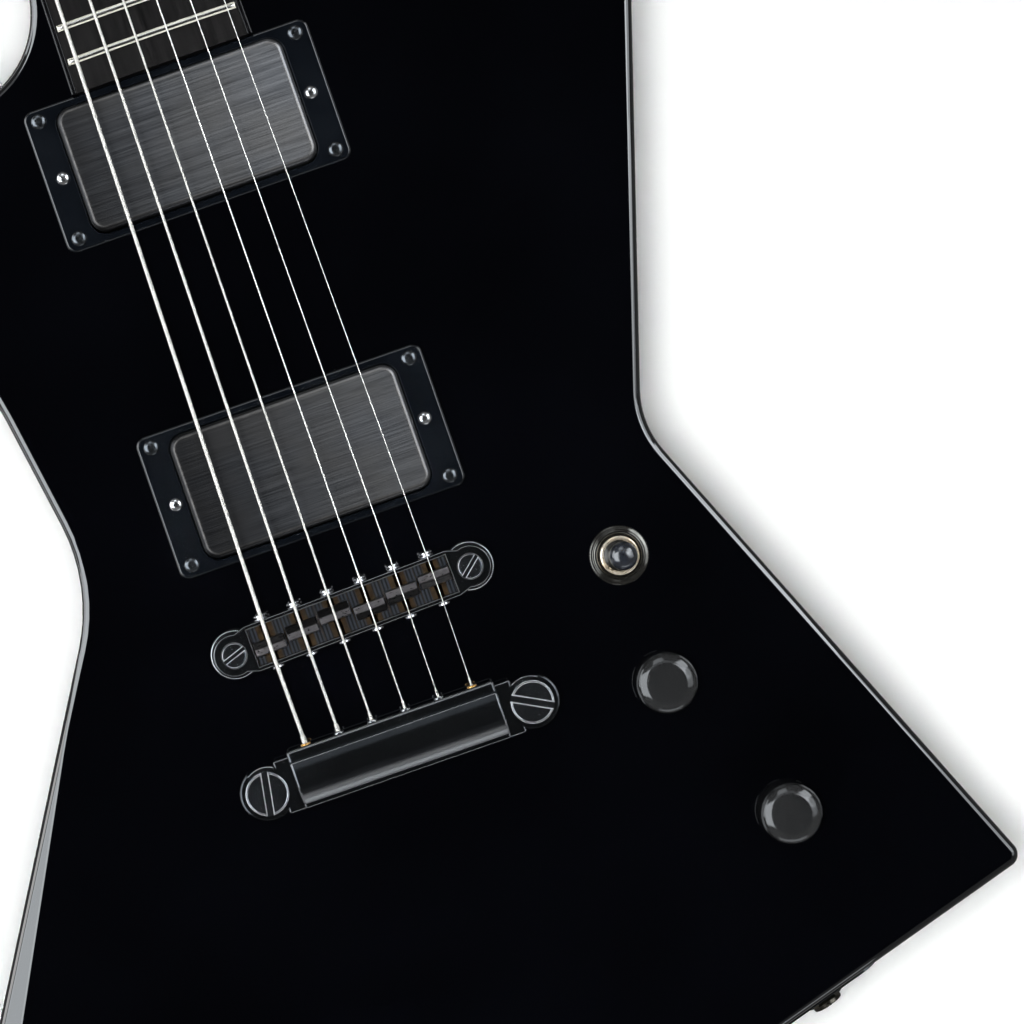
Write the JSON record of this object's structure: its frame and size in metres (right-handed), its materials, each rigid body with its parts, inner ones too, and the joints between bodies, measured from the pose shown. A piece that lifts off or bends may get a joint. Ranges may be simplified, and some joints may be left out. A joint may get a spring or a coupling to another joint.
{
  "type": "electric guitar",
  "caption": "Solid-body electric guitar with a pointed asymmetric black body, set neck, covered pickups, fixed bridge and tailpiece, and an inline headstock.",
  "frame": {"origin": "on the flat back of the body, behind the middle of the bridge, on the centre line of the strings", "axes": "+Z along the strings towards the headstock, +X towards the treble side, -Y out of the playing face; the guitar is upright as it hangs"},
  "size_m": [0.3981, 0.1052, 1.0777],
  "materials": {
    "body_lacquer": "deep gloss black lacquer over wood",
    "neck_lacquer": "gloss black lacquer over wood",
    "ebony": "oiled dark fingerboard wood with fine pores",
    "binding": "polished black binding",
    "fret_wire": "polished nickel silver",
    "nut_graphite": "matte black graphite",
    "gloss_black_plastic": "gloss",
    "ring_plastic": "semi-gloss blue-black",
    "matte_black_plastic": "fine satin texture",
    "battery_case": "painted",
    "black_hardware": "gloss black plating",
    "black_screws": "black oxide",
    "bright_steel": "polished nickel",
    "inner_steel": "plain",
    "pickup_metal": "brushed gunmetal with bright worn edges",
    "pickup_core": "matte",
    "saddle_metal": "dark plated, worn at the crest",
    "wound_string": "wound nickel",
    "plain_string": "plain polished steel",
    "switch_tip": "gloss black tip",
    "switch_metal": "polished",
    "switch_ring": "black knurled",
    "knob_plastic": "gloss black",
    "tuner_metal": "satin black plating",
    "tuner_post_metal": "black plating"
  },
  "bodies": {
    "guitar": {"body": "body_lacquer", "neck": "neck_lacquer", "fingerboard": "ebony", "fingerboard_binding": "binding", "frets": "fret_wire", "nut": "nut_graphite", "truss_rod": "inner_steel", "truss_rod_cover": "gloss_black_plastic", "rear_cover": "matte_black_plastic", "battery": "battery_case", "cover_screws": "black_screws", "strap_buttons": "black_hardware", "strap_button_screws": "bright_steel", "pickup_rings": "ring_plastic", "ring_screws": "black_screws", "height_screws": "bright_steel", "neck_pickup_springs": "inner_steel", "bridge_pickup_springs": "inner_steel", "bridge_frame": "black_hardware", "intonation_screws": "bright_steel", "bridge_posts": "black_hardware", "tailpiece": "black_hardware", "tailpiece_studs": "black_hardware", "stud_bushings": "black_hardware", "wound_strings": "wound_string", "plain_strings": "plain_string", "switch_housing": "switch_metal", "switch_nut": "switch_ring", "pots": "inner_steel", "pot_nuts": "bright_steel", "output_jack": "bright_steel", "jack_plate": "black_hardware", "jack_nut": "bright_steel", "tuner_housings": "tuner_metal", "tuner_bushings": "tuner_metal"},
    "neck_pickup_body": {"neck_pickup_cover": "pickup_metal", "neck_pickup_core": "pickup_core"},
    "bridge_pickup_body": {"bridge_pickup_cover": "pickup_metal", "bridge_pickup_core": "pickup_core"},
    "switch_lever_body": {"switch_lever": "switch_tip"},
    "knob_1_body": {"volume_knob_1": "knob_plastic"},
    "knob_2_body": {"volume_knob_2": "knob_plastic"},
    "saddle_1_body": {"saddle_1": "saddle_metal"},
    "saddle_2_body": {"saddle_2": "saddle_metal"},
    "saddle_3_body": {"saddle_3": "saddle_metal"},
    "saddle_4_body": {"saddle_4": "saddle_metal"},
    "saddle_5_body": {"saddle_5": "saddle_metal"},
    "saddle_6_body": {"saddle_6": "saddle_metal"},
    "key_1_body": {"tuner_key_1": "tuner_metal"},
    "key_2_body": {"tuner_key_2": "tuner_metal"},
    "key_3_body": {"tuner_key_3": "tuner_metal"},
    "key_4_body": {"tuner_key_4": "tuner_metal"},
    "key_5_body": {"tuner_key_5": "tuner_metal"},
    "key_6_body": {"tuner_key_6": "tuner_metal"},
    "post_1_body": {"tuner_post_1": "tuner_post_metal"},
    "post_2_body": {"tuner_post_2": "tuner_post_metal"},
    "post_3_body": {"tuner_post_3": "tuner_post_metal"},
    "post_4_body": {"tuner_post_4": "tuner_post_metal"},
    "post_5_body": {"tuner_post_5": "tuner_post_metal"},
    "post_6_body": {"tuner_post_6": "tuner_post_metal"}
  },
  "joints": [
    {"name": "neck_pickup_height", "type": "slide", "parent": "guitar", "child": "neck_pickup_body", "axis": [0, -1, 0], "range_m": [-0.002, 0.0015], "deforming": ["neck_pickup_springs"]},
    {"name": "bridge_pickup_height", "type": "slide", "parent": "guitar", "child": "bridge_pickup_body", "axis": [0, -1, 0], "range_m": [-0.002, 0.0015], "deforming": ["bridge_pickup_springs"]},
    {"name": "saddle_1_intonation", "type": "slide", "parent": "guitar", "child": "saddle_1_body", "axis": [-0.0276, 0, 0.9996], "range_m": [-0.002, 0.002]},
    {"name": "saddle_2_intonation", "type": "slide", "parent": "guitar", "child": "saddle_2_body", "axis": [-0.0276, 0, 0.9996], "range_m": [-0.002, 0.002]},
    {"name": "saddle_3_intonation", "type": "slide", "parent": "guitar", "child": "saddle_3_body", "axis": [-0.0276, 0, 0.9996], "range_m": [-0.002, 0.002]},
    {"name": "saddle_4_intonation", "type": "slide", "parent": "guitar", "child": "saddle_4_body", "axis": [-0.0276, 0, 0.9996], "range_m": [-0.002, 0.002]},
    {"name": "saddle_5_intonation", "type": "slide", "parent": "guitar", "child": "saddle_5_body", "axis": [-0.0276, 0, 0.9996], "range_m": [-0.002, 0.002]},
    {"name": "saddle_6_intonation", "type": "slide", "parent": "guitar", "child": "saddle_6_body", "axis": [-0.0276, 0, 0.9996], "range_m": [-0.002, 0.002]},
    {"name": "pickup_switch", "type": "hinge", "parent": "guitar", "child": "switch_lever_body", "pos_m": [0.0803, -0.042, -0.0108], "axis": [0, 0, 1], "range_deg": [-11, 11]},
    {"name": "volume_1_turn", "type": "hinge", "parent": "guitar", "child": "knob_1_body", "pos_m": [0.0805, -0.044, -0.0505], "axis": [0, -1, 0], "range_deg": [-150, 150]},
    {"name": "volume_2_turn", "type": "hinge", "parent": "guitar", "child": "knob_2_body", "pos_m": [0.1025, -0.044, -0.0988], "axis": [0, -1, 0], "range_deg": [-150, 150]},
    {"name": "tuner_key_1_turn", "type": "hinge", "parent": "guitar", "child": "key_1_body", "pos_m": [-0.01878, 0.00175, 0.67231], "axis": [-0.9655, 0.0638, 0.2523], "continuous": true},
    {"name": "tuner_key_2_turn", "type": "hinge", "parent": "guitar", "child": "key_2_body", "pos_m": [-0.01188, 0.00803, 0.69713], "axis": [-0.9655, 0.0638, 0.2523], "continuous": true},
    {"name": "tuner_key_3_turn", "type": "hinge", "parent": "guitar", "child": "key_3_body", "pos_m": [-0.00498, 0.01431, 0.72195], "axis": [-0.9655, 0.0638, 0.2523], "continuous": true},
    {"name": "tuner_key_4_turn", "type": "hinge", "parent": "guitar", "child": "key_4_body", "pos_m": [0.00192, 0.02059, 0.74677], "axis": [-0.9655, 0.0638, 0.2523], "continuous": true},
    {"name": "tuner_key_5_turn", "type": "hinge", "parent": "guitar", "child": "key_5_body", "pos_m": [0.00882, 0.02687, 0.77158], "axis": [-0.9655, 0.0638, 0.2523], "continuous": true},
    {"name": "tuner_key_6_turn", "type": "hinge", "parent": "guitar", "child": "key_6_body", "pos_m": [0.01572, 0.03315, 0.7964], "axis": [-0.9655, 0.0638, 0.2523], "continuous": true},
    {"name": "tuner_post_1_turn", "type": "hinge", "parent": "guitar", "child": "post_1_body", "pos_m": [-0.02089, -0.01955, 0.66964], "axis": [0, -0.9694, 0.2453], "continuous": true},
    {"name": "tuner_post_2_turn", "type": "hinge", "parent": "guitar", "child": "post_2_body", "pos_m": [-0.01398, -0.01327, 0.69446], "axis": [0, -0.9694, 0.2453], "continuous": true},
    {"name": "tuner_post_3_turn", "type": "hinge", "parent": "guitar", "child": "post_3_body", "pos_m": [-0.00709, -0.00699, 0.71927], "axis": [0, -0.9694, 0.2453], "continuous": true},
    {"name": "tuner_post_4_turn", "type": "hinge", "parent": "guitar", "child": "post_4_body", "pos_m": [-0.00018, -0.00071, 0.74409], "axis": [0, -0.9694, 0.2453], "continuous": true},
    {"name": "tuner_post_5_turn", "type": "hinge", "parent": "guitar", "child": "post_5_body", "pos_m": [0.00671, 0.00557, 0.76891], "axis": [0, -0.9694, 0.2453], "continuous": true},
    {"name": "tuner_post_6_turn", "type": "hinge", "parent": "guitar", "child": "post_6_body", "pos_m": [0.01362, 0.01185, 0.79373], "axis": [0, -0.9694, 0.2453], "continuous": true}
  ],
  "couplings": [
    {"joint": "tuner_post_1_turn", "follows": "tuner_key_1_turn", "ratio": 0.066667},
    {"joint": "tuner_post_2_turn", "follows": "tuner_key_2_turn", "ratio": 0.066667},
    {"joint": "tuner_post_3_turn", "follows": "tuner_key_3_turn", "ratio": 0.066667},
    {"joint": "tuner_post_4_turn", "follows": "tuner_key_4_turn", "ratio": 0.066667},
    {"joint": "tuner_post_5_turn", "follows": "tuner_key_5_turn", "ratio": 0.066667},
    {"joint": "tuner_post_6_turn", "follows": "tuner_key_6_turn", "ratio": 0.066667}
  ]
}
